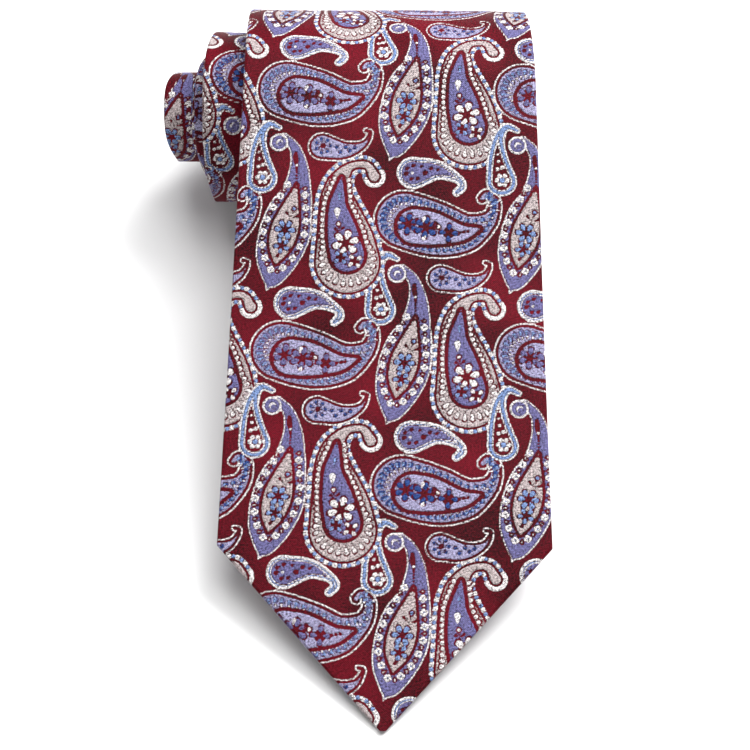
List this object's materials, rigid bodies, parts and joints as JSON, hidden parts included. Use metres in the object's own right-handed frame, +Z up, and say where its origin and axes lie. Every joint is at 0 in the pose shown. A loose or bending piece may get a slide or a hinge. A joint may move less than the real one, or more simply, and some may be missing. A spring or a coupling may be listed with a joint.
{
  "type": "necktie",
  "caption": "Men's silk necktie rolled into a spiral with its wide blade drawn out down a slope to a pointed tip.",
  "frame": {"origin": "centre of the object's box, on the surface that it stands on", "axes": "+X across the tie, to the right seen from the tip; +Y from the blade's tip towards the roll; +Z up"},
  "size_m": [0.1172, 0.2318, 0.0657],
  "materials": {
    "silk": "woven silk jacquard, satin ground",
    "interlining": "brushed wool blend, matte",
    "tipping": "plain satin",
    "thread": "sewing thread",
    "label": "blank woven tape"
  },
  "bodies": {
    "roll": {"blade_panel_rolled": "silk", "neck_panel": "silk", "tail_panel": "silk", "roll_interlining": "interlining", "roll_slip_stitch": "thread", "neck_seam_thread": "thread", "tail_seam_thread": "thread", "tail_tipping": "tipping", "tail_bar_tack": "thread"},
    "blade": {"blade_shell": "silk", "blade_interlining": "interlining", "blade_tipping": "tipping", "blade_slip_stitch": "thread", "blade_bar_tack": "thread", "keeper_loop": "silk", "keeper_tack_left": "thread", "keeper_tack_right": "thread", "woven_label": "label"},
    "care_label": {"care_label": "label"}
  },
  "joints": [
    {"name": "blade_lift", "type": "hinge", "parent": "roll", "child": "blade", "pos_m": [0.01105, 0.07007, 0.06353], "axis": [-1, 0, 0], "range_deg": [0, 75]},
    {"name": "care_label_swing", "type": "hinge", "parent": "blade", "child": "care_label", "pos_m": [0.02505, 0.0328, 0.04661], "axis": [1, 0, 0], "range_deg": [0, 70], "stiffness_Nm_per_rad": 0.002}
  ]
}
